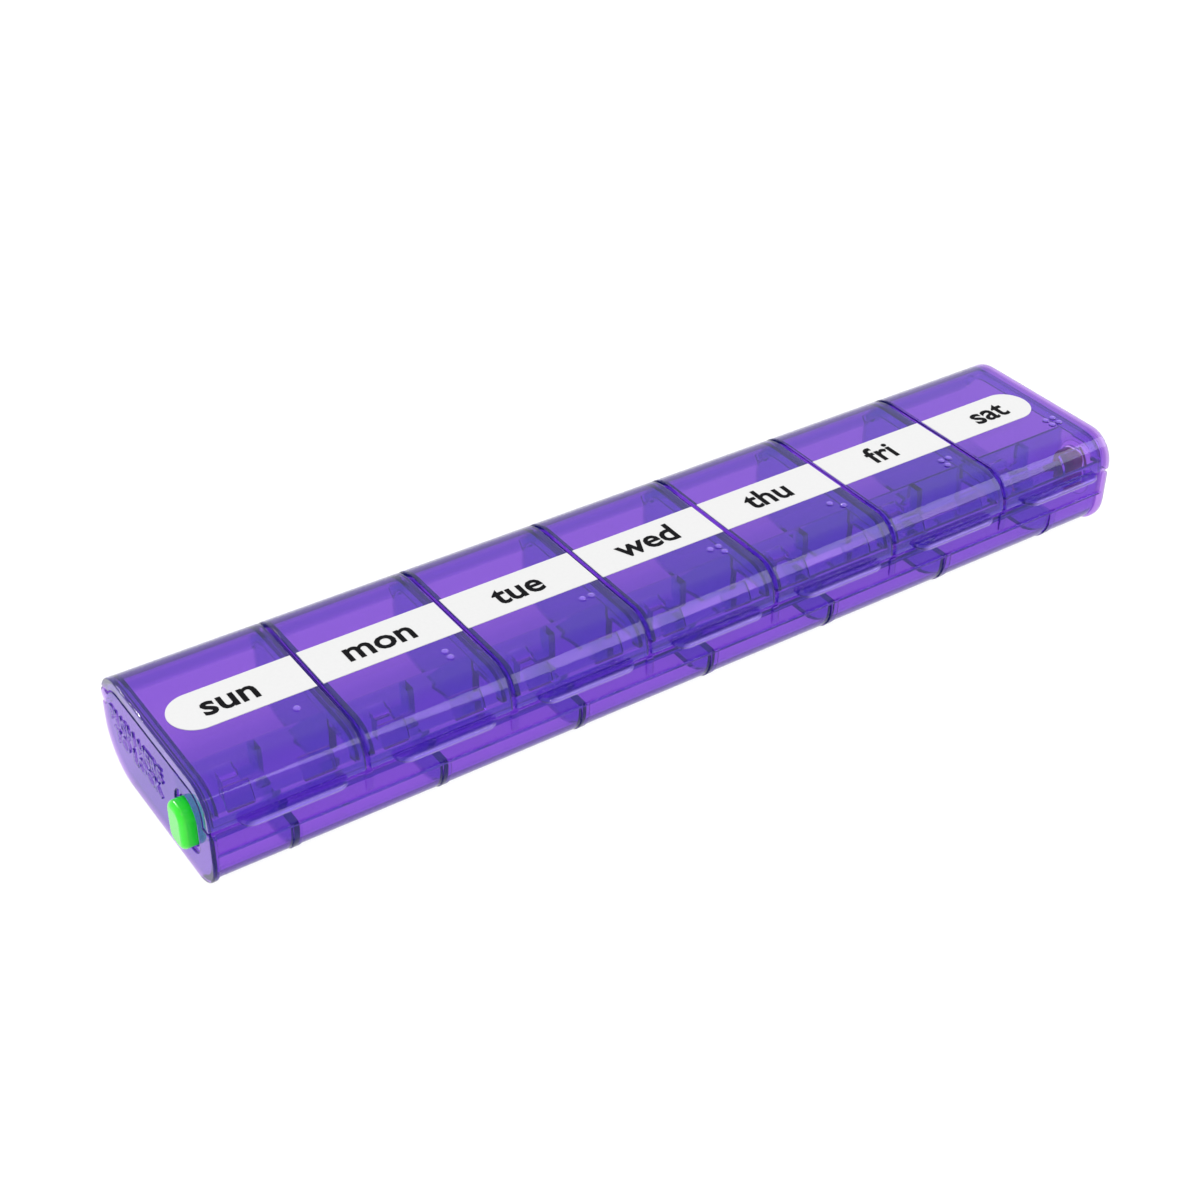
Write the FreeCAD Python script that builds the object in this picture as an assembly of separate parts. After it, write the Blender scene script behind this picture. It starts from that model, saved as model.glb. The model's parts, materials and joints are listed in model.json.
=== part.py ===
import FreeCAD, Part
import math
import os

# Seven-day pill organizer with a sliding lock bar, in millimetres.
# Row frame: +X along the length (first day at -X), +Y to the hinge side, +Z up,
# origin in the middle of the underside.

# ---- driving dimensions -------------------------------------------------------
PITCH = 31.0            # one day compartment along X
DAYS = ["sun", "mon", "tue", "wed", "thu", "fri", "sat"]
END_EXTRA = 0.5         # each end plate stands this far past its last lid line
DEPTH = 47.2            # end plate, front to back
HEIGHT = 23.4           # underside to lid top
WALL = 1.4              # moulded wall
R_FRONT_TOP = 6.7       # corner radii of the end view
R_BACK_TOP = 8.8
R_FRONT_BOTTOM = 7.7
R_BACK_BOTTOM = 9.7

LOW_FRONT = -22.7       # lower front wall, set back between the end plates
R_LOW_FRONT = 7.3
FLOOR = 2.1             # floor under the compartments
CHANNEL_FLOOR = 1.1     # thinner floor under the lock bar
DIVIDER = 1.5
BIN_FRONT = -8.6        # rear face of the wall between compartments and lock channel
BIN_WALL = 1.2
BIN_TOP = 19.3
LEDGE_Z = 9.4           # underside of the upper front band
BEAD_T = 0.7
BAND_FRONT = -23.2
BAND_BACK = -20.7
BAND_TOP = 14.9
TONGUE_FRONT = -21.8    # thin lip behind the lids' lower edges
TONGUE_TOP = 16.9
BACK_TOP = 14.4         # top of the back wall, under the hinge barrels
RIB = 1.7               # cross ribs under the lock bar
RIB_SHIFT = 0.9
RIB_FRONT = -23.05
R_RIB = 7.4
RIB_TOP = 8.6
POST = 1.6              # short posts on the front band, one at each division
POST_Z0 = 10.8

LID_GAP = 0.8           # between neighbouring lids
LID_FRONT_Z = 15.3      # lower edge of a lid's front
END_CLEAR = 0.35        # end lid flange to end plate
CLEAR = 0.4             # lid to divider
FLANGE_OFF = 1.1        # flange face from the division line
FLANGE = 0.9
FLANGE_DEPTH = 3.6
FLANGE_Z = 17.3         # lower end of a flange at the front
SKIRT_DEPTH = 2.5       # end lids lap over the end plates by this much
SKIRT_BACK_Z = 18.7     # where the skirt stops above the hinge
LIP_OUT = 2.9
LIP_Z = 15.8
LIP_T = 1.1
LIP_X0 = -10.6
LIP_X1 = 10.9
PADS = ((-11.6, -6.2), (3.4, 9.9))     # thickened places inside the front bend
PAD_T = 0.8
PAD_Z0 = 17.4
PAD_Z1 = 21.4
HOOK_STEM = (-2.6, -1.2)
HOOK_FOOT_X = -5.4
DOT_X = 8.7             # first raised dot from the lid centre
DOT_Y = -9.82
DOT_STEP = 2.05
DOT_R = 0.95

HINGE_Y = 21.6
HINGE_Z = 16.6
HINGE_R = 1.7
STUD_R = 0.9
STUD_FIT = 0.05         # radial running clearance
STUD_IN = 0.55          # stud length inside its socket
NOTCH_R = 2.05

BAR_Y = -13.6           # middle of the lock bar and of both buttons
BAR_W = 3.0
BAR_Z0 = 9.0
BAR_Z1 = 13.5
HOOK_TOP = 19.5
TOOTH_STEM = (-10.6, -9.2)
TOOTH_HEAD_X = -6.0
HOOK_T = 1.4
FOOT_Z = 16.4
TRAVEL = 3.0
BUTTON_W = 6.4
BUTTON_H = 9.4
BUTTON_L = 4.2
BUTTON_Z = 11.3
BUTTON_OUT = 2.5        # a button stands out this far when it is not pushed in
BUTTON_R = 2.4
BUTTON_EDGE = 1.3
BUTTON_FIT = 0.35       # gap round a button in its end plate
POCKET = 2.8

LABEL_T = 0.15
LABEL_Y0 = -5.98
LABEL_Y1 = 5.05
LABEL_LEFT = -105.3
LABEL_RIGHT = 104.1

SPAN = PITCH * len(DAYS)
HALF = SPAN / 2.0 + END_EXTRA
V = FreeCAD.Vector


# ---- helpers --------------------------------------------------------------------
def box(x0, x1, y0, y1, z0, z1):
    """Block between two corners."""
    return Part.makeBox(x1 - x0, y1 - y0, z1 - z0, V(x0, y0, z0))


def rounded(y0, y1, z0, z1, front_top, back_top, front_bottom, back_bottom):
    """Face in the YZ plane with one radius per corner."""
    corners = [
        (y0, z0, 1, 1, front_bottom, 180),
        (y1, z0, -1, 1, back_bottom, 270),
        (y1, z1, -1, -1, back_top, 0),
        (y0, z1, 1, -1, front_top, 90),
    ]
    points = []
    for cy, cz, sy, sz, r, start in corners:
        my, mz = cy + sy * r, cz + sz * r
        trio = []
        for k in range(3):
            a = math.radians(start + 45 * k)
            trio.append(V(0, my + r * math.cos(a), mz + r * math.sin(a)))
        points.append(trio)
    edges = []
    for k in range(4):
        a, b, c = points[k]
        edges.append(Part.Arc(a, b, c).toShape())
        nxt = points[(k + 1) % 4][0]
        if c.distanceToPoint(nxt) > 1e-6:
            edges.append(Part.makeLine(c, nxt))
    return Part.Face(Part.Wire(edges))


def end_view(inset):
    """The outer end view, drawn inset mm inside itself."""
    return rounded(
        -DEPTH / 2 + inset, DEPTH / 2 - inset, inset, HEIGHT - inset,
        R_FRONT_TOP - inset, R_BACK_TOP - inset,
        R_FRONT_BOTTOM - inset, R_BACK_BOTTOM - inset)


def slab(face, x0, x1):
    """Push a YZ face along X from x0 to x1."""
    f = face.copy()
    f.translate(V(x0, 0, 0))
    return f.extrude(V(x1 - x0, 0, 0))


def hinge_rod(r, x0, x1):
    """Cylinder about the hinge line."""
    return Part.makeCylinder(r, x1 - x0, V(x0, HINGE_Y, HINGE_Z), V(1, 0, 0))


def button_block(extra, x0, x1):
    """Rounded bar with the button's outline, grown by extra all round."""
    hw = BUTTON_W / 2 + extra
    hh = BUTTON_H / 2 + extra
    r = BUTTON_R + extra
    f = rounded(BAR_Y - hw, BAR_Y + hw, BUTTON_Z - hh, BUTTON_Z + hh, r, r, r, r)
    return slab(f, x0, x1)


def division(k):
    """X of the line left of day k; k = 7 gives the last line."""
    return -SPAN / 2 + PITCH * k


def edge_line(k):
    """Like division, but the outer faces of the end plates at the two ends."""
    if k == 0:
        return -HALF
    if k == len(DAYS):
        return HALF
    return division(k)


# ---- tray: trough, dividers and end plates of one moulding -----------------------
def low_view(inset, floor):
    """End view of the trough between the end plates."""
    return rounded(LOW_FRONT + inset, DEPTH / 2 - inset, floor, HEIGHT,
                   1.0, 1.0, R_LOW_FRONT - inset, R_BACK_BOTTOM - inset)


def make_trough():
    x0, x1 = -HALF + WALL, HALF - WALL
    trough = slab(low_view(0.0, 0.0), x0, x1).cut(slab(low_view(WALL, CHANNEL_FLOOR), x0, x1))
    trough = trough.cut(box(x0 - 1, x1 + 1, -30, 0, BAND_TOP, 30))
    trough = trough.cut(box(x0 - 1, x1 + 1, 0, 30, BACK_TOP, 30))
    wall_y0 = BIN_FRONT - BIN_WALL
    adds = []
    adds.append(box(x0, x1, BAND_FRONT, LOW_FRONT + 0.5, LEDGE_Z, BAND_TOP))
    adds.append(box(x0, x1, -DEPTH / 2, LOW_FRONT, LEDGE_Z, LEDGE_Z + BEAD_T))
    adds.append(box(x0, x1, LOW_FRONT + 0.2, BAND_BACK, 12.0, BAND_TOP))
    adds.append(box(x0 + 0.4, x1 - 0.4, TONGUE_FRONT, BAND_BACK, 12.0, TONGUE_TOP))
    inside = slab(low_view(0.5, 0.5), x0, x1)
    adds.append(box(x0, x1, wall_y0, 30, 0.6, FLOOR).common(inside))
    adds.append(box(x0, x1, wall_y0, BIN_FRONT, 0.6, BIN_TOP))
    rib_view = rounded(RIB_FRONT, 10, 0, HEIGHT, 1, 1, R_RIB, 1)
    for k in range(len(DAYS)):
        c = division(k) + PITCH / 2 + RIB_SHIFT
        rib = slab(rib_view, c - RIB / 2, c + RIB / 2)
        adds.append(rib.common(box(c - 2, c + 2, -30, wall_y0 + 0.3, -1, RIB_TOP)))
        adds.append(rib.common(box(c - 2, c + 2, -30, LOW_FRONT + 0.5, RIB_TOP - 1, LEDGE_Z + 0.2)))
    for k in range(1, len(DAYS)):
        x = division(k)
        adds.append(box(x - POST / 2, x + POST / 2, -DEPTH / 2, BAND_FRONT + 0.5, POST_Z0, BAND_TOP))
    return trough.fuse(adds).removeSplitter()


def make_divider(k, trough):
    """Wall between two compartments, with a hinge ear behind and a web over the bar."""
    x0 = division(k) - DIVIDER / 2
    x1 = division(k) + DIVIDER / 2
    plate = slab(end_view(WALL + CLEAR), x0, x1)
    plate = plate.cut(box(x0 - 1, x1 + 1, -30, BIN_FRONT - BIN_WALL + 0.5, -1, 16.5))
    plate = plate.fuse(box(x0, x1, BIN_FRONT, DEPTH / 2 - WALL, 1.0, 12.0))
    plate = plate.fuse(hinge_rod(HINGE_R, x0, x1))
    inside = slab(low_view(WALL, FLOOR), x0 - 1, x1 + 1)
    outside = box(x0 - 1, x1 + 1, -30, 30, -1, 12.5).cut(inside)
    plate = plate.cut(outside).cut(trough)
    return plate.cut(hinge_rod(STUD_R + STUD_FIT, x0 - 1, x1 + 1)).removeSplitter()


def make_end_plate(left):
    x0 = -HALF if left else HALF - WALL
    x1 = x0 + WALL
    low = slab(end_view(0.0), x0, x1)
    low = low.cut(box(x0 - 1, x1 + 1, -30, 0, BAND_TOP, 30))
    low = low.cut(box(x0 - 1, x1 + 1, -1, 30, BACK_TOP, 30))
    top = slab(end_view(SKIRT_DEPTH + 0.3), x0, x1)
    heel = slab(end_view(WALL + CLEAR), x0, x1).common(box(x0 - 1, x1 + 1, 12, 30, 8, 18.2))
    plate = low.fuse([top, heel, hinge_rod(HINGE_R, x0, x1)])
    reach = STUD_IN + 0.15
    if left:
        plate = plate.cut(hinge_rod(STUD_R + STUD_FIT, x1 - reach, x1 + 1))
    else:
        plate = plate.cut(hinge_rod(STUD_R + STUD_FIT, x0 - 1, x0 + reach))
    return plate.cut(button_block(BUTTON_FIT, x0 - 1, x1 + 1)).removeSplitter()


# ---- lids ---------------------------------------------------------------------
BRAILLE = {
    "sun": [1], "mon": [1, 2], "tue": [1, 4], "wed": [1, 4, 5],
    "thu": [1, 5], "fri": [1, 2, 4], "sat": [1, 2, 4, 5],
}


def make_lid(k):
    day = DAYS[k]
    c = division(k) + PITCH / 2
    first = k == 0
    last = k == len(DAYS) - 1
    e0 = edge_line(k) + (0.0 if first else LID_GAP / 2)
    e1 = edge_line(k + 1) - (0.0 if last else LID_GAP / 2)
    f0 = edge_line(k) + (WALL + END_CLEAR if first else FLANGE_OFF)
    f1 = edge_line(k + 1) - (WALL + END_CLEAR if last else FLANGE_OFF)
    roof = slab(end_view(0.0), e0, e1).cut(slab(end_view(WALL), e0, e1))
    roof = roof.cut(box(e0 - 1, e1 + 1, -30, 0, -1, LID_FRONT_Z))
    roof = roof.cut(box(e0 - 1, e1 + 1, -1, 30, -1, HINGE_Z))
    for x0, x1 in ((e0 - 1, f0), (f1, e1 + 1)):
        roof = roof.cut(hinge_rod(NOTCH_R, x0, x1))
        roof = roof.cut(box(x0, x1, 20, 25, 10, HINGE_Z + 0.5))
    adds = [hinge_rod(HINGE_R, f0, f1)]
    for x0, x1 in ((f0, f0 + FLANGE), (f1 - FLANGE, f1)):
        flange = slab(end_view(WALL - 0.1), x0, x1).cut(slab(end_view(FLANGE_DEPTH), x0, x1))
        flange = flange.cut(box(x0 - 1, x1 + 1, -30, 0, -1, FLANGE_Z))
        flange = flange.cut(box(x0 - 1, x1 + 1, -1, 30, -1, HINGE_Z))
        adds.append(flange)
    for end, x0, x1 in ((first, e0, e0 + WALL), (last, e1 - WALL, e1)):
        if end:
            skirt = slab(end_view(0.5), x0, x1).cut(slab(end_view(SKIRT_DEPTH), x0, x1))
            skirt = skirt.cut(box(x0 - 1, x1 + 1, -30, 0, -1, LID_FRONT_Z))
            skirt = skirt.cut(box(x0 - 1, x1 + 1, -1, 30, -1, SKIRT_BACK_Z))
            adds.append(skirt)
    s0 = edge_line(k) + (WALL if first else DIVIDER / 2) - STUD_IN
    s1 = edge_line(k + 1) - (WALL if last else DIVIDER / 2) + STUD_IN
    adds.append(hinge_rod(STUD_R, s0, s1))
    # finger lip
    y_out = -DEPTH / 2 - LIP_OUT
    lip = box(c + LIP_X0, c + LIP_X1, y_out, -DEPTH / 2 + 0.7, LIP_Z, LIP_Z + LIP_T)
    for x, turn in ((c + LIP_X0, 1), (c + LIP_X1, -1)):
        corner = box(min(x, x + turn * LIP_OUT), max(x, x + turn * LIP_OUT),
                     y_out, y_out + LIP_OUT, LIP_Z, LIP_Z + LIP_T)
        drum = Part.makeCylinder(LIP_OUT, LIP_T, V(x + turn * LIP_OUT, y_out + LIP_OUT, LIP_Z))
        lip = lip.cut(corner.cut(drum))
    adds.append(lip)
    # thickened pads inside the front bend
    for a, b in PADS:
        x0, x1 = c + a, c + b
        pad = slab(end_view(WALL - 0.1), x0, x1).cut(slab(end_view(WALL + PAD_T), x0, x1))
        adds.append(pad.common(box(x0, x1, -30, -14, PAD_Z0, PAD_Z1)))
    # latch hook: a stem with its foot towards -X
    y0, y1 = BAR_Y - BAR_W / 2, BAR_Y + BAR_W / 2
    stem0, stem1 = HOOK_STEM
    adds.append(box(c + stem0, c + stem1, y0, y1, FOOT_Z, HEIGHT - WALL + 0.2))
    adds.append(box(c + HOOK_FOOT_X, c + stem1, y0, y1, FOOT_Z, FOOT_Z + HOOK_T))
    # raised dots, one letter per day
    for dot in BRAILLE[day]:
        col = 0 if dot < 4 else 1
        row = (dot - 1) % 3
        x = c + DOT_X + DOT_STEP * col
        y = DOT_Y - DOT_STEP * row
        ball = Part.makeSphere(DOT_R, V(x, y, HEIGHT - 0.5))
        adds.append(ball.common(box(x - 2, x + 2, y - 2, y + 2, HEIGHT - 0.6, HEIGHT + 1)))
    return roof.fuse(adds).removeSplitter()


# ---- labels -------------------------------------------------------------------
def make_label(k):
    r = (LABEL_Y1 - LABEL_Y0) / 2
    y = (LABEL_Y0 + LABEL_Y1) / 2
    x0 = division(k) + 0.65
    x1 = division(k + 1) - 0.65
    if k == 0:
        x0 = LABEL_LEFT + r
    if k == len(DAYS) - 1:
        x1 = LABEL_RIGHT - r
    strip = box(x0, x1, LABEL_Y0, LABEL_Y1, HEIGHT, HEIGHT + LABEL_T)
    if k == 0:
        strip = strip.fuse(Part.makeCylinder(r, LABEL_T, V(x0, y, HEIGHT)))
    if k == len(DAYS) - 1:
        strip = strip.fuse(Part.makeCylinder(r, LABEL_T, V(x1, y, HEIGHT)))
    return strip.removeSplitter()


# ---- lock bar and its two buttons ----------------------------------------------
GREEN_TIP = -HALF - BUTTON_OUT
RED_TIP = HALF + BUTTON_OUT - TRAVEL


def make_bar():
    y0, y1 = BAR_Y - BAR_W / 2, BAR_Y + BAR_W / 2
    left = GREEN_TIP + BUTTON_L - POCKET
    right = RED_TIP - BUTTON_L + POCKET
    bar = box(left, right, y0, y1, BAR_Z0, BAR_Z1)
    teeth = []
    for k in range(len(DAYS)):
        c = division(k) + PITCH / 2
        stem0, stem1 = TOOTH_STEM
        teeth.append(box(c + stem0, c + stem1, y0, y1, BAR_Z1 - 0.5, HOOK_TOP))
        teeth.append(box(c + stem0, c + TOOTH_HEAD_X, y0, y1, HOOK_TOP - HOOK_T, HOOK_TOP))
    return bar.fuse(teeth).removeSplitter()


def make_button(left):
    x0 = GREEN_TIP if left else RED_TIP - BUTTON_L
    x1 = x0 + BUTTON_L
    tip = x0 if left else x1
    cap = button_block(0.0, x0, x1)
    edges = []
    for e in cap.Edges:
        b = e.BoundBox
        if abs(b.XMin - tip) < 1e-4 and abs(b.XMax - tip) < 1e-4:
            edges.append(e)
    cap = cap.makeFillet(BUTTON_EDGE, edges)
    y0, y1 = BAR_Y - BAR_W / 2, BAR_Y + BAR_W / 2
    if left:
        return cap.cut(box(x1 - POCKET, x1 + 1, y0, y1, BAR_Z0, BAR_Z1))
    return cap.cut(box(x0 - 1, x0 + POCKET, y0, y1, BAR_Z0, BAR_Z1))


# ---- export -------------------------------------------------------------------
os.makedirs("parts", exist_ok=True)
trough = make_trough()
nodes = {"tray_trough": trough}
nodes["end_plate_left"] = make_end_plate(True)
nodes["end_plate_right"] = make_end_plate(False)
for k in range(1, len(DAYS)):
    nodes["divider_" + DAYS[k - 1] + "_" + DAYS[k]] = make_divider(k, trough)
for k, day in enumerate(DAYS):
    nodes["lid_" + day] = make_lid(k)
for k, day in enumerate(DAYS):
    nodes["day_label_" + day] = make_label(k)
nodes["lock_bar"] = make_bar()
nodes["lock_button"] = make_button(True)
nodes["unlock_button"] = make_button(False)
for name, shape in nodes.items():
    print(name, "solids", len(shape.Solids), "valid", shape.isValid())
    shape.exportStep("parts/" + name + ".step")
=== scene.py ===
import json
import math
import bmesh
import bpy
import numpy as np
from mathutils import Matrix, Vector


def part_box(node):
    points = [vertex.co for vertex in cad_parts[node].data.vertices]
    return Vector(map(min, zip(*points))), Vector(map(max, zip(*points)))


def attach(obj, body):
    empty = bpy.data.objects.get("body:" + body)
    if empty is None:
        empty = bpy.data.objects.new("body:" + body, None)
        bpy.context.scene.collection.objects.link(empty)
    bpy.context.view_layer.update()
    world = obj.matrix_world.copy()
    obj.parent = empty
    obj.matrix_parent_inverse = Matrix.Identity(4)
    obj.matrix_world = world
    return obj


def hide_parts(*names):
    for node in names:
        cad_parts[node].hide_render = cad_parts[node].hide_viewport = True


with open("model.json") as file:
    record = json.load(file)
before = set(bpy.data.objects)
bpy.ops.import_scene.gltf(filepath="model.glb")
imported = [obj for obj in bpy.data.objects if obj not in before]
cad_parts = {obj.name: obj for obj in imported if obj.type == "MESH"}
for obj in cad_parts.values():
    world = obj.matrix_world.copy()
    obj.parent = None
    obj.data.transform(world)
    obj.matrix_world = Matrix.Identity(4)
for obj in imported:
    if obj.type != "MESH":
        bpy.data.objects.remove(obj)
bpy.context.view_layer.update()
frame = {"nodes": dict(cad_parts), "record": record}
scene = bpy.context.scene


# ---- Camera, table and studio light ---------------------------------------------
# A long lens looks down on the first-day end and the front. The table and the backdrop
# are one evenly lit white, as in a light tent, so almost no shadow falls on them.
def aim_camera(target, distance, azimuth, elevation, roll):
    """Location = target + distance times the unit vector at that azimuth and elevation.
    The axes are right, up and back; roll turns right and up about back."""
    a, e, r = np.radians([azimuth, elevation, roll])
    back = np.array([np.sin(a) * np.cos(e), -np.cos(a) * np.cos(e), np.sin(e)])
    level = np.cross(-back, [0, 0, 1.0])
    level /= np.linalg.norm(level)
    upright = np.cross(level, -back)
    place = np.eye(4)
    place[:3, 0] = level * np.cos(r) + upright * np.sin(r)
    place[:3, 1] = upright * np.cos(r) - level * np.sin(r)
    place[:3, 2] = back
    place[:3, 3] = np.array(target) + distance * back
    return place


camera = bpy.data.objects.new("camera", bpy.data.cameras.new("camera"))
camera.data.sensor_width = 36
camera.data.lens = 61.08
camera.data.clip_start = 0.01
view_target = (-0.01965, -0.01202, 0.02343)
view_distance = 0.39615
view_azimuth, view_elevation, view_roll = -34.43, 35.55, 0.605
view = aim_camera(view_target, view_distance, view_azimuth, view_elevation, view_roll)
camera.matrix_world = view.T.tolist()
scene.collection.objects.link(camera)
scene.camera = camera

table_mesh = bpy.data.meshes.new("table_top")
table_z = -0.00006
reach = 3.0
table_corners = [(x * reach, y * reach, table_z) for x, y in ((-1, -1), (1, -1), (1, 1), (-1, 1))]
table_mesh.from_pydata(table_corners, [], [(0, 1, 2, 3)])
table = bpy.data.objects.new("table_top", table_mesh)
scene.collection.objects.link(table)
white = bpy.data.materials.new("lit_white_table")
white.use_nodes = True
white_shader = white.node_tree.nodes["Principled BSDF"]
white_shader.inputs["Base Color"].default_value = (0.10, 0.10, 0.10, 1)
white_shader.inputs["Roughness"].default_value = 0.9
white_shader.inputs["Emission Color"].default_value = (1, 1, 1, 1)
white_shader.inputs["Emission Strength"].default_value = 0.95
table_mesh.materials.append(white)

world = bpy.data.worlds.new("light_tent")
world.use_nodes = True
world.node_tree.nodes["Background"].inputs["Color"].default_value = (1, 1, 1, 1)
world.node_tree.nodes["Background"].inputs["Strength"].default_value = 1.0
scene.world = world


def softbox(name, place, aim, width, height, power):
    """Area light at place, facing aim: its -Z axis lies along aim minus place."""
    lamp = bpy.data.lights.new(name, "AREA")
    lamp.shape = "RECTANGLE"
    lamp.size = width
    lamp.size_y = height
    lamp.energy = power
    lit = bpy.data.objects.new(name, lamp)
    back = np.array(place) - np.array(aim)
    back /= np.linalg.norm(back)
    side = np.cross([0, 0, 1.0], back)
    side /= np.linalg.norm(side)
    turn = np.eye(4)
    turn[:3, 0] = side
    turn[:3, 1] = np.cross(back, side)
    turn[:3, 2] = back
    turn[:3, 3] = place
    lit.matrix_world = turn.T.tolist()
    scene.collection.objects.link(lit)


softbox("key_light", (-0.5, -0.6, 0.9), (0, 0, 0), 0.08, 0.08, 1.4)
softbox("back_light", (-0.15, 0.9, 0.75), (0, 0, 0), 0.10, 0.10, 3.0)
softbox("front_light", (0.72, -0.68, 0.82), (0, 0, 0), 0.95, 0.70, 6.0)
scene.view_settings.view_transform = "Standard"
scene.cycles.max_bounces = 32
scene.cycles.transmission_bounces = 32
scene.cycles.transparent_max_bounces = 32
scene.cycles.use_denoising = True


# ---- Base tray --------------------------------------------------------------------
# One injection moulding in clear purple plastic: a trough closed by two end plates, with
# six dividers, a lock channel along the front and a cross rib under each day.
# The dividers and the end plates carry the sockets that the lid studs turn in.
MM = 0.001
pitch = 31 * MM
days = ["sun", "mon", "tue", "wed", "thu", "fri", "sat"]
wall = 1.4 * MM
hinge_y, hinge_z = frame["record"]["behaviour"]["joints"][0]["pos_m"][1:]
barrel_r = 1.7 * MM
plate_low, plate_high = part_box("end_plate_left")
front_roof_r, back_roof_r = 6.7 * MM, 8.8 * MM
front_foot_r, back_foot_r = 7.7 * MM, 9.7 * MM
half_length = -plate_low[0]
half_depth = plate_high[1]
dot_rise = 0.45 * MM
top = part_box("lid_wed")[1][2] - dot_rise
centre_of = {day: (k - 3) * pitch for k, day in enumerate(days)}


def soften(corners, steps=7):
    """Closed outline from corners (a, b, radius). A corner with a radius becomes an arc
    tangent to both sides: it starts radius / tan(half angle) before the corner, and its
    middle lies on the bisector at radius / sin(half angle)."""
    points = np.array([c[:2] for c in corners], float)
    outline = []
    for k, (a, b, radius) in enumerate(corners):
        here = points[k]
        if radius <= 0:
            outline.append(here[None])
            continue
        to_last = points[k - 1] - here
        to_next = points[(k + 1) % len(points)] - here
        to_last /= np.linalg.norm(to_last)
        to_next /= np.linalg.norm(to_next)
        half = 0.5 * np.arccos(np.clip(to_last @ to_next, -1, 1))
        bisector = to_last + to_next
        middle = here + bisector / np.linalg.norm(bisector) * radius / np.sin(half)
        first = here + to_last * radius / np.tan(half) - middle
        last = here + to_next * radius / np.tan(half) - middle
        turn = np.arccos(np.clip(first @ last / radius ** 2, -1, 1))
        count = max(2, int(np.ceil(steps * turn / (np.pi / 2))) + 1)
        t = np.linspace(0, 1, count)[:, None]
        sweep = (np.sin((1 - t) * turn) * first + np.sin(t * turn) * last) / np.sin(turn)
        outline.append(middle + sweep)
    return np.concatenate(outline)


def carry(outline, start, end, edge=0.0, along="x", rings=3):
    """Solid bar: the outline carried from start to end. Over the last stretch of length
    edge it is drawn in by edge * (1 - cos t) while it moves on by edge * sin t."""
    before = outline - np.roll(outline, 1, axis=0)
    following = np.roll(outline, -1, axis=0)
    after = following - outline
    spin = np.sign(np.sum(outline[:, 0] * following[:, 1] - outline[:, 1] * following[:, 0]))
    normal_before = np.stack([-before[:, 1], before[:, 0]], 1) * spin
    normal_after = np.stack([-after[:, 1], after[:, 0]], 1) * spin
    normal_before /= np.linalg.norm(normal_before, axis=1)[:, None]
    normal_after /= np.linalg.norm(normal_after, axis=1)[:, None]
    inward = normal_before + normal_after
    inward /= np.maximum(np.sum(inward * normal_before, axis=1), 0.3)[:, None]
    if edge > 0:
        t = np.linspace(0, np.pi / 2, rings + 1)
        places = np.concatenate([start + edge * (1 - np.cos(t)), end - edge * (1 - np.cos(t))[::-1]])
        insets = np.concatenate([edge * (1 - np.sin(t)), edge * (1 - np.sin(t))[::-1]])
    else:
        places = np.array([start, end])
        insets = np.zeros(2)
    n = len(outline)
    flat = outline[None] + insets[:, None, None] * inward[None]
    run = np.broadcast_to(places[:, None, None], (len(places), n, 1))
    grid = np.concatenate([run, flat] if along == "x" else [flat, run], axis=2)
    ring = np.arange(n)
    onward = np.roll(ring, -1)
    rows = np.arange(len(places) - 1)[:, None] * n
    quads = np.stack([rows + ring, rows + onward, rows + n + onward, rows + n + ring], 2)
    faces = quads.reshape(-1, 4).tolist()
    faces.append(ring[::-1].tolist())
    faces.append((ring + (len(places) - 1) * n).tolist())
    return grid.reshape(-1, 3), faces


def round_bar(radius, start, end, edge=0.0, steps=40):
    """Cylinder along X about the hinge line: a circle carried from start to end."""
    a = np.linspace(0, 2 * np.pi, steps, endpoint=False)
    circle = np.stack([hinge_y + radius * np.cos(a), hinge_z + radius * np.sin(a)], 1)
    return carry(circle, start, end, edge)


def block(low, high, radius=0.0, edge=0.0):
    """Bar along X between two corners, with its four long edges rounded."""
    (x0, y0, z0), (x1, y1, z1) = low, high
    corners = [(y0, z0, radius), (y1, z0, radius), (y1, z1, radius), (y0, z1, radius)]
    return carry(soften(corners, 4), x0, x1, edge)


def solid(name, shape):
    """Mesh object from (points, faces), its faces turned outwards."""
    mesh = bpy.data.meshes.new(name)
    points, faces = shape
    mesh.from_pydata(points.tolist(), [], faces)
    tidy = bmesh.new()
    tidy.from_mesh(mesh)
    bmesh.ops.recalc_face_normals(tidy, faces=tidy.faces)
    tidy.to_mesh(mesh)
    tidy.free()
    made = bpy.data.objects.new(name, mesh)
    scene.collection.objects.link(made)
    return made


def weld(name, adds, cuts=(), late=()):
    """One moulded piece: the solids in adds joined, those in cuts taken away from them,
    and those in late joined on afterwards."""
    body = solid(name, adds[0])
    for operation, shapes in (("UNION", adds[1:]), ("DIFFERENCE", cuts), ("UNION", late)):
        for shape in shapes:
            tool = solid(name + "_tool", shape)
            step = body.modifiers.new("step", "BOOLEAN")
            step.operation = operation
            step.solver = "MANIFOLD"
            step.object = tool
            graph = bpy.context.evaluated_depsgraph_get()
            joined = bpy.data.meshes.new_from_object(body.evaluated_get(graph))
            body.modifiers.clear()
            body.data = joined
            bpy.data.objects.remove(tool)
    body.data.materials.clear()
    body.data.polygons.foreach_set("material_index", np.zeros(len(body.data.polygons), np.int32))
    body.data.shade_smooth()
    body.data.set_sharp_from_angle(angle=math.radians(38))
    body.data.name = name
    level = body.modifiers.new("flat_faces_stay_flat", "WEIGHTED_NORMAL")
    level.mode = "FACE_AREA"
    level.weight = 100
    level.keep_sharp = True
    return body


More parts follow.
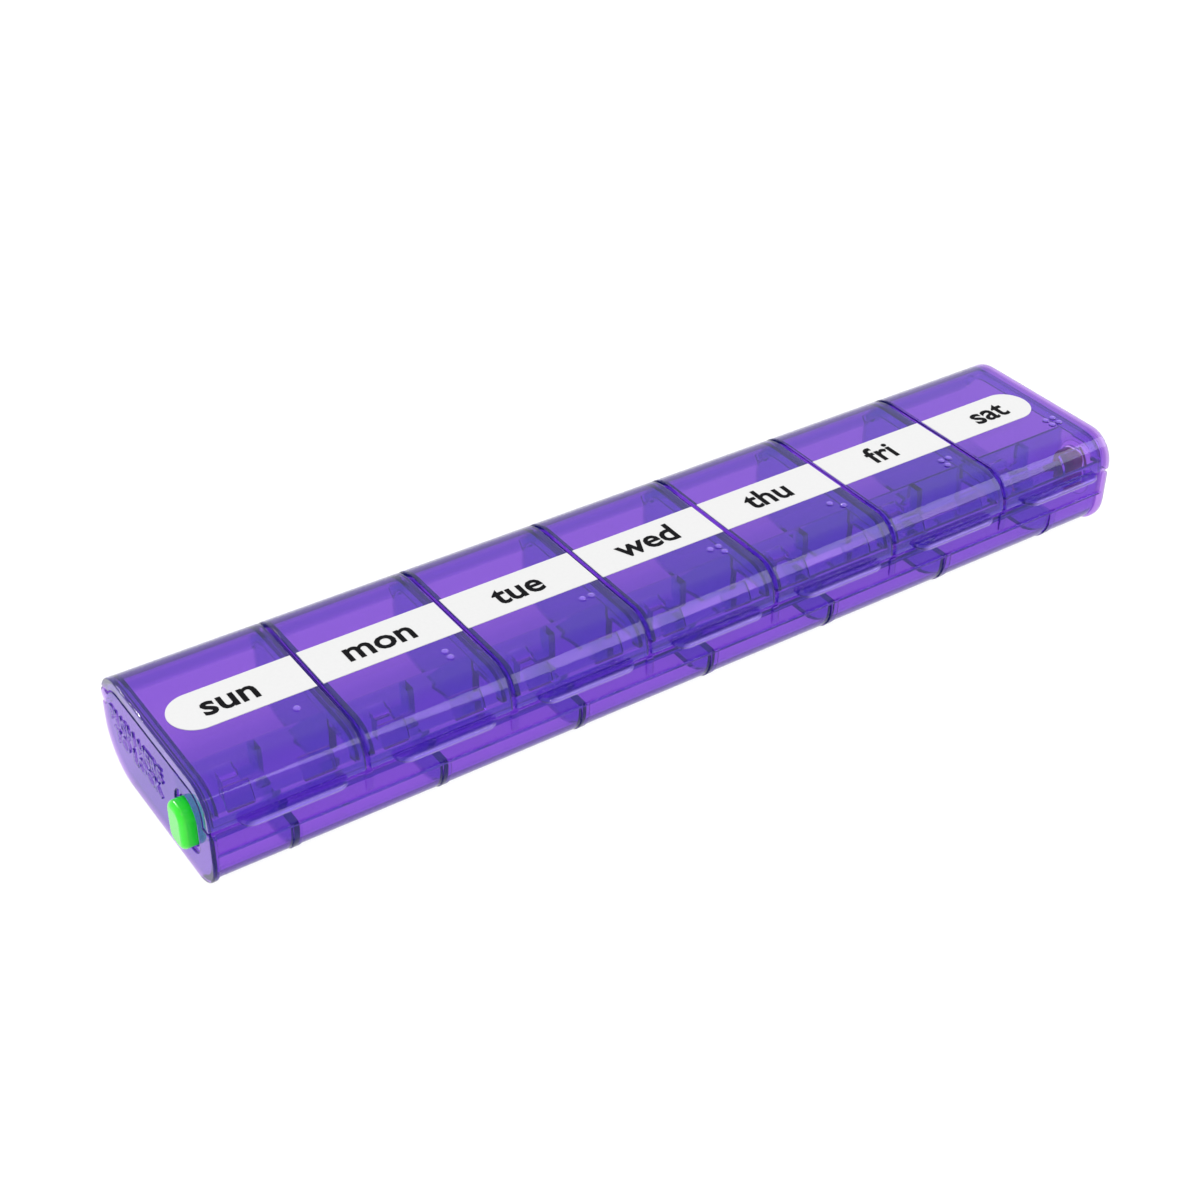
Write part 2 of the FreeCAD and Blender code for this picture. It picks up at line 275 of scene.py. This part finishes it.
def build_fine_texture():
    """Node group: one noise on Object coordinates gives a colour from Shade A to Shade B,
    a roughness from Gloss Low to Gloss High, and a bump of the given strength and depth."""
    group = bpy.data.node_groups.new("fine_texture", "ShaderNodeTree")
    for socket in ("Scale", "Detail", "Gloss Low", "Gloss High", "Ripple", "Ripple Depth"):
        group.interface.new_socket(name=socket, in_out="INPUT", socket_type="NodeSocketFloat")
    for socket in ("Shade A", "Shade B"):
        group.interface.new_socket(name=socket, in_out="INPUT", socket_type="NodeSocketColor")
    group.interface.new_socket(name="Colour", in_out="OUTPUT", socket_type="NodeSocketColor")
    group.interface.new_socket(name="Roughness", in_out="OUTPUT", socket_type="NodeSocketFloat")
    group.interface.new_socket(name="Normal", in_out="OUTPUT", socket_type="NodeSocketVector")
    given = group.nodes.new("NodeGroupInput")
    result = group.nodes.new("NodeGroupOutput")
    place = group.nodes.new("ShaderNodeTexCoord")
    noise = group.nodes.new("ShaderNodeTexNoise")
    shade = group.nodes.new("ShaderNodeMix")
    shade.data_type = "RGBA"
    gloss = group.nodes.new("ShaderNodeMapRange")
    ripple = group.nodes.new("ShaderNodeBump")
    link = group.links.new
    link(place.outputs["Object"], noise.inputs["Vector"])
    link(given.outputs["Scale"], noise.inputs["Scale"])
    link(given.outputs["Detail"], noise.inputs["Detail"])
    link(given.outputs["Shade A"], shade.inputs["A"])
    link(given.outputs["Shade B"], shade.inputs["B"])
    link(noise.outputs["Fac"], shade.inputs["Factor"])
    link(given.outputs["Gloss Low"], gloss.inputs["To Min"])
    link(given.outputs["Gloss High"], gloss.inputs["To Max"])
    link(noise.outputs["Fac"], gloss.inputs["Value"])
    link(given.outputs["Ripple"], ripple.inputs["Strength"])
    link(given.outputs["Ripple Depth"], ripple.inputs["Distance"])
    link(noise.outputs["Fac"], ripple.inputs["Height"])
    link(shade.outputs["Result"], result.inputs["Colour"])
    link(gloss.outputs["Result"], result.inputs["Roughness"])
    link(ripple.outputs["Normal"], result.inputs["Normal"])
    return group


fine_texture = build_fine_texture()


def textured(name, **values):
    """Material, its shader and its fine_texture node, which drives roughness and normal.
    Each value sets the input of the same name, with spaces written as underscores."""
    made = bpy.data.materials.new(name)
    made.use_nodes = True
    tree = made.node_tree
    shader = tree.nodes["Principled BSDF"]
    texture = tree.nodes.new("ShaderNodeGroup")
    texture.node_tree = fine_texture
    for socket, value in values.items():
        texture.inputs[socket.replace("_", " ")].default_value = value
    tree.links.new(texture.outputs["Roughness"], shader.inputs["Roughness"])
    tree.links.new(texture.outputs["Normal"], shader.inputs["Normal"])
    return made, shader, texture


def dyed_plastic(name, tint, depth, density, glow, polish):
    """Clear dyed plastic. Colour deepens with the length of the way through it, a faint blue emission is
    painted light that lifts and blues it from within, and moulding flow varies the gloss."""
    made, shader, _ = textured(name, Scale=90.0, Detail=3.0, Gloss_Low=0.0, Gloss_High=0.004,
                               Ripple=0.01, Ripple_Depth=0.0001)
    tree = made.node_tree
    shader.inputs["Base Color"].default_value = (*tint, 1)
    shader.inputs["IOR"].default_value = 1.17
    shader.inputs["Transmission Weight"].default_value = 1.0
    # Painted light: the plastic gives off a faint blue emission, though it is no lamp.
    shader.inputs["Emission Color"].default_value = (*glow, 1)
    shader.inputs["Emission Strength"].default_value = glow_strength
    shader.inputs["Coat Weight"].default_value = polish
    shader.inputs["Coat Roughness"].default_value = 0.02
    shader.inputs["Coat IOR"].default_value = 1.5
    dye = tree.nodes.new("ShaderNodeVolumeAbsorption")
    dye.inputs["Color"].default_value = (*depth, 1)
    dye.inputs["Density"].default_value = density
    tree.links.new(dye.outputs["Volume"], tree.nodes["Material Output"].inputs["Volume"])
    return made


def end_corners(inset, floor=None):
    """Corners of the end view, drawn inset inside itself: front top, back top, back
    bottom and front bottom, each with its radius."""
    y = half_depth - inset
    bottom = inset if floor is None else floor
    return [(-y, top - inset, front_roof_r - inset), (y, top - inset, back_roof_r - inset),
            (y, bottom, back_foot_r - inset), (-y, bottom, front_foot_r - inset)]


surface_tint = (0.86, 0.76, 0.90)
dye_colour = (0.58, 0.22, 0.83)
# Painted light: the next two values set a faint blue emission on the purple plastics.
painted_blue_glow = (0.15, 0.15, 1.0)
glow_strength = 0.057
shell_plastic = dyed_plastic("purple_shell_plastic", surface_tint, dye_colour, 850.0, painted_blue_glow, 0.35)
low_front = -22.7 * MM
band_top = 14.9 * MM
back_top = 14.4 * MM
bin_front = -8.6 * MM
bin_wall = 1.2 * MM
floor_top = 2.1 * MM
channel_floor = 1.1 * MM
rail_y = -half_depth
rail_z0, rail_z1 = 9.4 * MM, 10.1 * MM
band_front, band_foot = -23.2 * MM, 12.0 * MM
tongue_front, tongue_back, tongue_top = -21.8 * MM, -20.7 * MM, 16.9 * MM
bin_top = 19.3 * MM
channel_back = bin_front - bin_wall
soft = 0.3 * MM
trough_corners = [
    (tongue_front, tongue_top, soft), (tongue_front, band_top, 0), (band_front, band_top, soft),
    (band_front, rail_z1, 0), (rail_y, rail_z1, 0.2 * MM), (rail_y, rail_z0, 0.2 * MM),
    (low_front, rail_z0, 0), (low_front, 0, 7.3 * MM), (half_depth, 0, back_foot_r),
    (half_depth, back_top, soft), (half_depth - wall, back_top, soft),
    (half_depth - wall, floor_top, 7.6 * MM), (bin_front, floor_top, 0.4 * MM),
    (bin_front, bin_top, 0.4 * MM), (channel_back, bin_top, 0.4 * MM),
    (channel_back, channel_floor, soft), (low_front + wall, channel_floor, 5.9 * MM),
    (low_front + wall, band_foot, 0), (tongue_back, band_foot, soft), (tongue_back, tongue_top, soft)]
inner_end = half_length - wall
tray_adds = [carry(soften(trough_corners), -inner_end - 0.2 * MM, inner_end + 0.2 * MM)]

rib_front, rib_step, rib_back = -23.05 * MM, -21.9 * MM, -9.5 * MM
rib_z0, rib_z1, rib_z2 = 0.05 * MM, 8.6 * MM, 9.6 * MM
rib_corners = [(rib_front, rib_z2, 0), (rib_front, rib_z0, 7.35 * MM), (rib_back, rib_z0, 0),
               (rib_back, rib_z1, soft), (rib_step, rib_z1, 0), (rib_step, rib_z2, 0)]
rib_offset = 0.9 * MM
rib_half = 0.85 * MM
for day in days:
    rib_x = centre_of[day] + rib_offset
    tray_adds.append(carry(soften(rib_corners), rib_x - rib_half, rib_x + rib_half, 0.12 * MM))

divider_half = 0.75 * MM
post_half = 0.8 * MM
lid_clear = 1.8 * MM
ear_z, web_z = 13.9 * MM, 16.5 * MM
divider_front, divider_back, divider_foot = -9.0 * MM, 22.4 * MM, 1.9 * MM
divider_corners = end_corners(lid_clear)[:2] + [
    (half_depth - lid_clear, ear_z, 0), (divider_back, ear_z, 0),
    (divider_back, divider_foot, 7.8 * MM), (divider_front, divider_foot, 0),
    (divider_front, web_z, soft), (-half_depth + lid_clear, web_z, 0.2 * MM)]
for k in range(1, len(days)):
    line = (k - 3.5) * pitch
    tray_adds.append(carry(soften(divider_corners), line - divider_half, line + divider_half, 0.12 * MM))
    tray_adds.append(round_bar(barrel_r, line - divider_half, line + divider_half, 0.15 * MM))
    post_low = (line - post_half, rail_y, 10.8 * MM)
    post_high = (line + post_half, low_front, band_top)
    tray_adds.append(block(post_low, post_high, 0.3 * MM, 0.2 * MM))

low_plate = [(-half_depth, band_top, 0.6 * MM), (-half_depth, 0, front_foot_r),
             (half_depth, 0, back_foot_r), (half_depth, back_top, 0.6 * MM)]
head_inset = 2.8 * MM
head_y, head_foot = half_depth - head_inset, 6 * MM
head_plate = end_corners(head_inset)[:2] + [(head_y, head_foot, 0), (-head_y, head_foot, 0)]
heel_y0, heel_y1 = 12 * MM, 21.8 * MM
heel_z0, heel_z1 = 8 * MM, 18.2 * MM
heel_plate = [(heel_y0, heel_z0, 0), (heel_y1, heel_z0, 0),
              (heel_y1, heel_z1, 2.6 * MM), (heel_y0, heel_z1, 0)]
for side in (-1, 1):
    x0, x1 = sorted((side * half_length, side * inner_end))
    tray_adds.append(carry(soften(low_plate, 9), x0, x1, 0.4 * MM, rings=4))
    tray_adds.append(carry(soften(head_plate, 9), x0, x1, 0.2 * MM))
    tray_adds.append(carry(soften(heel_plate), x0, x1, 0.2 * MM))
    tray_adds.append(round_bar(barrel_r, x0, x1, 0.2 * MM))

button_y, button_z = -13.6 * MM, 11.3 * MM
button_half_w, button_half_h = 3.2 * MM, 4.7 * MM
button_fit = 0.35 * MM
thumb_rim, thumb_sink = 1.5 * MM, 0.45 * MM


def button_outline(grow, radius=2.4 * MM):
    """Rounded rectangle of the push buttons, grown all round by grow."""
    a, b, r = button_half_w + grow, button_half_h + grow, radius + grow
    corners = [(button_y - a, button_z - b, r), (button_y + a, button_z - b, r),
               (button_y + a, button_z + b, r), (button_y - a, button_z + b, r)]
    return soften(corners, 8)


socket_r = 0.95 * MM
tray_cuts = [round_bar(socket_r, -inner_end - 0.7 * MM, inner_end + 0.7 * MM)]
for side in (-1, 1):
    middle = side * (half_length - wall / 2)
    tray_cuts.append(carry(button_outline(button_fit), middle - 2 * MM, middle + 2 * MM))
    face = side * half_length
    tray_cuts.append(carry(button_outline(thumb_rim), face - thumb_sink, face + thumb_sink, 0.2 * MM))
tray = weld("base_tray", tray_adds, tray_cuts)
tray.data.materials.append(shell_plastic)
tray_nodes = [name for name in frame["nodes"] if name.startswith(("tray_", "end_plate", "divider"))]
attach(tray, "tray")
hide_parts(*tray_nodes)


# ---- End plate lettering ------------------------------------------------------------
# Raised generic words on the first end plate, moulded with it, tell the user where to
# press. They stand a third of a millimetre out of the plate.
def raised_words(name, words, size, height, gap, weight):
    """Text as a mesh in its own plane, thickened by height, with its middle at zero."""
    curve = bpy.data.curves.new(name, "FONT")
    curve.body = words
    curve.size = size
    curve.align_x = "CENTER"
    curve.align_y = "CENTER"
    curve.space_line = gap
    curve.extrude = height / 2
    curve.offset = size * weight
    curve.resolution_u = 3
    flat = bpy.data.objects.new(name, curve)
    scene.collection.objects.link(flat)
    graph = bpy.context.evaluated_depsgraph_get()
    mesh = bpy.data.meshes.new_from_object(flat.evaluated_get(graph))
    bpy.data.objects.remove(flat)
    made = bpy.data.objects.new(name, mesh)
    scene.collection.objects.link(made)
    return made


def place_mesh(piece, right, up, out, spot):
    """Moves every point p to spot + p.x * right + p.y * up + p.z * out."""
    count = len(piece.data.vertices)
    p = np.empty(count * 3, np.float32)
    piece.data.vertices.foreach_get("co", p)
    axes = np.array([right, up, out], float)
    moved = p.reshape(-1, 3) @ axes + np.array(spot)
    piece.data.vertices.foreach_set("co", moved.astype(np.float32).ravel())
    piece.data.update()


words_y, words_z = 7.6 * MM, 12.4 * MM
end_words = raised_words("end_plate_words", "PUSH HERE\nTO LOCK", 4.7 * MM, 0.35 * MM, 0.92, 0.012)
place_mesh(end_words, (0, -1, 0), (0, 0, 1), (-1, 0, 0), (-half_length - 0.1 * MM, words_y, words_z))
end_words.data.materials.append(shell_plastic)
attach(end_words, "tray")


# ---- Day lids -------------------------------------------------------------------------
# Seven snap lids in the same plastic. A roof bends down over the front and ends in a
# finger lip; two thin ribs under it stiffen it; behind, it rolls into the hinge barrel.
front_bend = (-half_depth + front_roof_r, top - front_roof_r)
back_bend = (half_depth - back_roof_r, top - back_roof_r)
lid_front_z = 15.3 * MM


def arc(y, z, radius, start, end, steps=14):
    """Points on a circle about (y, z) from angle start to end, in degrees."""
    a = np.radians(np.linspace(start, end, steps))
    return np.stack([y + radius * np.cos(a), z + radius * np.sin(a)], 1)


def roof_outline():
    """Roof in the end view: up the front, over the top, down the back bend and round
    the barrel, then back along the inside. The barrel touches the bend from within."""
    by, bz = back_bend
    to_hinge = math.degrees(math.atan2(hinge_z - bz, hinge_y - by))
    gap = math.hypot(hinge_z - bz, hinge_y - by)
    inner_r = back_roof_r - wall
    turn = math.acos((gap ** 2 + inner_r ** 2 - barrel_r ** 2) / (2 * gap * inner_r))
    meet = to_hinge + math.degrees(turn)
    my = by + inner_r * math.cos(math.radians(meet))
    mz = bz + inner_r * math.sin(math.radians(meet))
    barrel_end = math.degrees(math.atan2(mz - hinge_z, my - hinge_y)) - 360
    rim = arc(-half_depth + wall / 2, lid_front_z + wall / 2, wall / 2, 360, 180, 8)
    return np.concatenate([
        rim, arc(*front_bend, front_roof_r, 180, 90), arc(by, bz, back_roof_r, 90, to_hinge),
        arc(hinge_y, hinge_z, barrel_r, to_hinge - 12, barrel_end, 24),
        arc(by, bz, inner_r, meet + 4, 90), arc(*front_bend, front_roof_r - wall, 90, 180)])


def inner_rib(inset_out, inset_in, front_z, back_z):
    """Rib under the roof: a ribbon between two insets of the end view, from front_z at
    the front round both bends to the height back_z, where asin gives the last angle."""
    front_out, front_in = front_roof_r - inset_out, front_roof_r - inset_in
    back_out, back_in = back_roof_r - inset_out, back_roof_r - inset_in
    last_out, last_in = np.degrees(np.arcsin((back_z - back_bend[1]) / np.array([back_out, back_in])))
    return np.concatenate([
        [(-half_depth + inset_out, front_z)], arc(*front_bend, front_out, 180, 90),
        arc(*back_bend, back_out, 90, last_out), arc(*back_bend, back_in, last_in, 90),
        arc(*front_bend, front_in, 90, 180), [(-half_depth + inset_in, front_z)]])


def dot(x, y, radius, rise):
    """Raised dot: rise * cos(t) high at radius * sin(t) out, sunk into the roof below."""
    rings, n = 7, 20
    t = np.linspace(0.12, np.pi / 2, rings)[:, None]
    a = np.linspace(0, 2 * np.pi, n, endpoint=False)[None]
    ring = np.stack([x + radius * np.sin(t) * np.cos(a), y + radius * np.sin(t) * np.sin(a),
                     top + rise * np.cos(t) + 0 * a], 2)
    base = ring[-1] - np.array([0, 0, 0.5 * MM])
    points = np.concatenate([ring.reshape(-1, 3), base])
    k = np.arange(n)
    onward = np.roll(k, -1)
    rows = np.arange(rings)[:, None] * n
    quads = np.stack([rows + k, rows + onward, rows + n + onward, rows + n + k], 2)
    faces = quads.reshape(-1, 4).tolist()
    faces.append(k[::-1].tolist())
    faces.append((k + rings * n).tolist())
    return points, faces


lid_plastic = dyed_plastic("purple_lid_plastic", surface_tint, dye_colour, 900.0, painted_blue_glow, 0.7)
lip_out, lip_z, lip_t = 2.9 * MM, 15.8 * MM, 1.1 * MM
# Colour of the painted highlight at the lip edge and the dot tops.
painted_edge_highlight = (0.20, 0.14, 0.40)


def paint_edge_highlights(material, plain, pale, lip_y, dot_z):
    """Painted highlights at the lip edge and the raised dots: the emission goes from plain to
    pale over 0.6 mm in Y at the lip and 0.3 mm in Z at a dot."""
    tree = material.node_tree
    shader = tree.nodes["Principled BSDF"]
    place = tree.nodes.new("ShaderNodeTexCoord")
    split = tree.nodes.new("ShaderNodeSeparateXYZ")
    at_lip = tree.nodes.new("ShaderNodeMapRange")
    at_lip.inputs["From Min"].default_value = lip_y + 0.7 * MM
    at_lip.inputs["From Max"].default_value = lip_y + 0.1 * MM
    at_dot = tree.nodes.new("ShaderNodeMapRange")
    at_dot.inputs["From Min"].default_value = dot_z + 0.1 * MM
    at_dot.inputs["From Max"].default_value = dot_z + 0.4 * MM
    either = tree.nodes.new("ShaderNodeMath")
    either.operation = "MAXIMUM"
    shade = tree.nodes.new("ShaderNodeMix")
    shade.data_type = "RGBA"
    shade.inputs["A"].default_value = (*plain, 1)
    shade.inputs["B"].default_value = (*pale, 1)
    tree.links.new(place.outputs["Object"], split.inputs["Vector"])
    tree.links.new(split.outputs["Y"], at_lip.inputs["Value"])
    tree.links.new(split.outputs["Z"], at_dot.inputs["Value"])
    tree.links.new(at_lip.outputs["Result"], either.inputs[0])
    tree.links.new(at_dot.outputs["Result"], either.inputs[1])
    tree.links.new(either.outputs["Value"], shade.inputs["Factor"])
    # Painted highlight: the emission colour turns pale at the lip edge and the dot tops.
    tree.links.new(shade.outputs["Result"], shader.inputs["Emission Color"])
    shader.inputs["Emission Strength"].default_value = 1.0


# Painted light on the lids: the plain blue emission everywhere, turning to a painted highlight at the
# lip edge and the dot tops.
plain_glow = [glow_strength * part for part in painted_blue_glow]
paint_edge_highlights(lid_plastic, plain_glow, painted_edge_highlight, -half_depth - lip_out, top)
letters = {"sun": [1], "mon": [1, 2], "tue": [1, 4], "wed": [1, 4, 5],
           "thu": [1, 5], "fri": [1, 2, 4], "sat": [1, 2, 4, 5]}
rib_gap = 1.1 * MM
rib_t = 0.9 * MM
lip_x0, lip_x1 = -10.6 * MM, 10.9 * MM
pad_spans = ((-11.6 * MM, -6.2 * MM), (3.4 * MM, 9.9 * MM))
pad_outer, pad_inner = 5.4 * MM, 4.5 * MM
hook_half = 1.5 * MM
hook_stem0, hook_stem1, hook_tip = -2.6 * MM, -1.2 * MM, -5.4 * MM
hook_z0, hook_z1 = 16.4 * MM, 17.8 * MM
dot_x, dot_y, dot_step, dot_r = 8.7 * MM, -9.82 * MM, 2.05 * MM, 0.81 * MM
stud_r = 0.9 * MM
notch_r = 2.05 * MM
pad_outline = np.concatenate([arc(*front_bend, pad_outer, 172, 122, 9),
                              arc(*front_bend, pad_inner, 122, 172, 9)])
lid_rib_depth, lid_rib_z = 3.6 * MM, 17.3 * MM
skirt_out, skirt_in, skirt_back_z = 0.5 * MM, 2.5 * MM, 18.7 * MM
half_gap = 0.4 * MM
end_clear = 0.35 * MM
stud_in = 0.55 * MM
for k, day in enumerate(days):
    c = centre_of[day]
    first, last = k == 0, k == len(days) - 1
    line0 = -half_length if first else c - pitch / 2
    line1 = half_length if last else c + pitch / 2
    e0 = line0 if first else line0 + half_gap
    e1 = line1 if last else line1 - half_gap
    f0 = line0 + (wall + end_clear if first else rib_gap)
    f1 = line1 - (wall + end_clear if last else rib_gap)
    roof = carry(roof_outline(), e0, e1, 0.3 * MM)
    adds = []
    rib_line = inner_rib(wall - 0.1 * MM, lid_rib_depth, lid_rib_z, hinge_z)
    adds.append(carry(rib_line, f0, f0 + rib_t, 0.15 * MM))
    adds.append(carry(rib_line, f1 - rib_t, f1, 0.15 * MM))
    if first or last:
        skirt = inner_rib(skirt_out, skirt_in, lid_front_z + 0.1 * MM, skirt_back_z)
        x0, x1 = (e0 + 0.1 * MM, e0 + wall) if first else (e1 - wall, e1 - 0.1 * MM)
        adds.append(carry(skirt, x0, x1, 0.1 * MM))
    lip_front = -half_depth - lip_out
    x0, x1 = c + lip_x0, c + lip_x1
    lip = [(x0, lip_front, lip_out - 0.1 * MM), (x1, lip_front, lip_out - 0.1 * MM),
           (x1, -half_depth + 0.7 * MM, 0), (x0, -half_depth + 0.7 * MM, 0)]
    adds.append(carry(soften(lip, 8), lip_z, lip_z + lip_t, 0.5 * MM, along="z"))
    for pad0, pad1 in pad_spans:
        adds.append(carry(pad_outline, c + pad0, c + pad1, 0.2 * MM))
    stem_low = (c + hook_stem0, button_y - hook_half, hook_z0)
    stem_high = (c + hook_stem1, button_y + hook_half, top - wall + 0.2 * MM)
    foot_low = (c + hook_tip, button_y - hook_half, hook_z0)
    foot_high = (c + hook_stem1 - 0.1 * MM, button_y + hook_half, hook_z1)
    adds.append(block(stem_low, stem_high, 0.2 * MM))
    adds.append(block(foot_low, foot_high, 0.3 * MM, 0.2 * MM))
    s0 = line0 + (wall if first else divider_half) - stud_in
    s1 = line1 - (wall if last else divider_half) + stud_in
    adds.append(round_bar(stud_r, s0, s1, 0.1 * MM))
    for number in letters[day]:
        column, row = (0, number - 1) if number < 4 else (1, number - 4)
        adds.append(dot(c + dot_x + dot_step * column, dot_y - dot_step * row, dot_r, dot_rise))
    cuts = []
    for a, b in ((e0 - MM, f0), (f1, e1 + MM)):
        cuts.append(round_bar(notch_r, a, b))
        cuts.append(block((a, 20 * MM, 10 * MM), (b, 25 * MM, hinge_z + 0.5 * MM)))
    lid = weld("lid_shell_" + day, [roof], cuts, adds)
    lid.data.materials.append(lid_plastic)
    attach(lid, "lid_" + day)
    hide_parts("lid_" + day)


# ---- Day labels ------------------------------------------------------------------------
# White printed film bonded to the lid tops, one strip per lid, so that they read as one
# stripe with round ends. The day words are a thin raised black print on the film.
def printed_film(name, base, speck, shine):
    """Matt film: a fine noise mottles its colour between base and speck, and its gloss."""
    made, shader, mottle = textured(name, Scale=1400.0, Detail=4.0, Gloss_Low=0.34, Gloss_High=0.50,
                                    Ripple=0.08, Ripple_Depth=0.00005,
                                    Shade_A=(*base, 1), Shade_B=(*speck, 1))
    shader.inputs["Specular IOR Level"].default_value = shine
    made.node_tree.links.new(mottle.outputs["Colour"], shader.inputs["Base Color"])
    return made


label_film = printed_film("label_film", (0.61, 0.61, 0.61), (0.65, 0.65, 0.65), 0.4)
day_ink = printed_film("day_ink", (0.004, 0.004, 0.005), (0.008, 0.008, 0.009), 0.02)
label_back, label_front = 5.05 * MM, -5.98 * MM
word_rise = 0.06 * MM
word_shift = -0.3 * MM
for day in days:
    film = frame["nodes"]["day_label_" + day]
    film.data.materials.clear()
    film.data.materials.append(label_film)
    word = raised_words("day_word_" + day, day, 8.3 * MM, word_rise, 1.0, 0.019)
    label_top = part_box("day_label_" + day)[1][2]
    spot = (centre_of[day] + word_shift, (label_back + label_front) / 2, label_top + word_rise / 2)
    place_mesh(word, (1, 0, 0), (0, 1, 0), (0, 0, 1), spot)
    word.data.materials.append(day_ink)
    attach(word, "lid_" + day)


# ---- Lock bar -------------------------------------------------------------------------
# Clear purple bar that slides in the front channel. One hooked tooth per day stands on it
# and passes over the hook under that day's lid.
# Painted light: the second value is a faint blue emission on the bar.
bar_tint, bar_glow = (0.95, 0.92, 0.97), (0.14, 0.14, 0.6)
bar_plastic = dyed_plastic("pale_bar_plastic", bar_tint, dye_colour, 250.0, bar_glow, 0.3)
bar_low, bar_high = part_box("lock_bar")
tooth_top = bar_high[2]
bar_top = 13.5 * MM
tooth_offset, tooth_stem, tooth_head, tooth_t = -10.6 * MM, 1.4 * MM, 4.6 * MM, 1.4 * MM
bar_bars = [block(bar_low, (bar_high[0], bar_high[1], bar_top), 0.3 * MM)]
for day in days:
    tooth_x = centre_of[day] + tooth_offset
    stem_low = (tooth_x, bar_low[1], bar_top - 0.6 * MM)
    stem_high = (tooth_x + tooth_stem, bar_high[1], tooth_top)
    head_low = (tooth_x, bar_low[1], tooth_top - tooth_t)
    head_high = (tooth_x + tooth_head, bar_high[1], tooth_top)
    bar_bars.append(block(stem_low, stem_high, 0.3 * MM))
    bar_bars.append(block(head_low, head_high, 0.3 * MM, 0.2 * MM))
lock_bar = weld("lock_slide_bar", bar_bars)
lock_bar.data.materials.append(bar_plastic)
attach(lock_bar, "lock")
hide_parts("lock_bar")


# ---- Push buttons -----------------------------------------------------------------------
# Solid glossy caps pressed onto the two ends of the bar, green to lock and red to unlock.
# Each is a rounded block with softly domed ends, and a slot that takes the bar.
def cap_plastic(name, deep, bright):
    """Opaque glossy plastic: colour drifts a little over the cap, with a fine texture."""
    made, shader, drift = textured(name, Scale=900.0, Detail=2.0, Gloss_Low=0.16, Gloss_High=0.24,
                                   Ripple=0.0, Ripple_Depth=0.0001,
                                   Shade_A=(*deep, 1), Shade_B=(*bright, 1))
    shader.inputs["Coat Weight"].default_value = 0.4
    shader.inputs["Coat Roughness"].default_value = 0.08
    made.node_tree.links.new(drift.outputs["Colour"], shader.inputs["Base Color"])
    return made


green, bright_green = (0.010, 0.80, 0.006), (0.012, 0.84, 0.008)
red, bright_red = (0.30, 0.006, 0.010), (0.34, 0.008, 0.012)
caps = {"lock_button": ("green_cap", "button_green", green, bright_green, -1),
        "unlock_button": ("red_cap", "button_red", red, bright_red, 1)}
slot_depth = 2.8 * MM
dome = 1.2 * MM
for node, (name, slot_name, deep, bright, side) in caps.items():
    low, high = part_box(node)
    body = carry(button_outline(0), low[0], high[0], dome, rings=6)
    slot_x0 = high[0] - slot_depth if side < 0 else low[0] - MM
    slot_x1 = high[0] + MM if side < 0 else low[0] + slot_depth
    slot = block((slot_x0, bar_low[1], bar_low[2]), (slot_x1, bar_high[1], bar_top))
    cap = weld(name, [body], [slot])
    cap.data.materials.append(cap_plastic(name + "_plastic", deep, bright))
    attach(cap, "lock")
    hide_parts(node)
